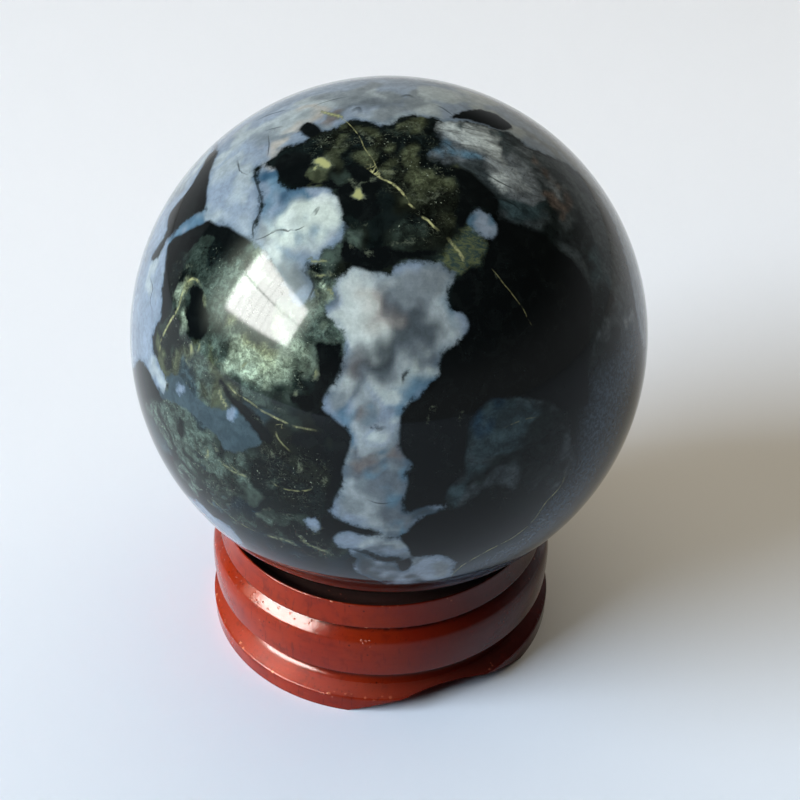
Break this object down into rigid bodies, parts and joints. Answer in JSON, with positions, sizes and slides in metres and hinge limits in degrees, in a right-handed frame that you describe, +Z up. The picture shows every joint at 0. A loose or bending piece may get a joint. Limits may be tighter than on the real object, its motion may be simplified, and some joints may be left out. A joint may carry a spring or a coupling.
{
  "type": "decorative stone sphere on a wooden stand",
  "caption": "Polished mottled stone ball resting in the dish of a low turned and lacquered wooden stand with an arched foot.",
  "frame": {"origin": "on the table, at the middle of the whole part's base outline, right under the ball's centre", "axes": "+Z up, -Y the front that the picture shows, +X to the right"},
  "size_m": [0.04, 0.04, 0.0469],
  "materials": {
    "polished_stone": "polished to a glassy gloss, dark green-black stone with lavender-grey patches, olive clouds and pale veins",
    "lacquered_wood": "red-brown glossy lacquer over turned wood, slightly uneven with dust specks"
  },
  "bodies": {
    "root": {"stone_ball": "polished_stone", "wooden_stand": "lacquered_wood"}
  },
  "joints": []
}
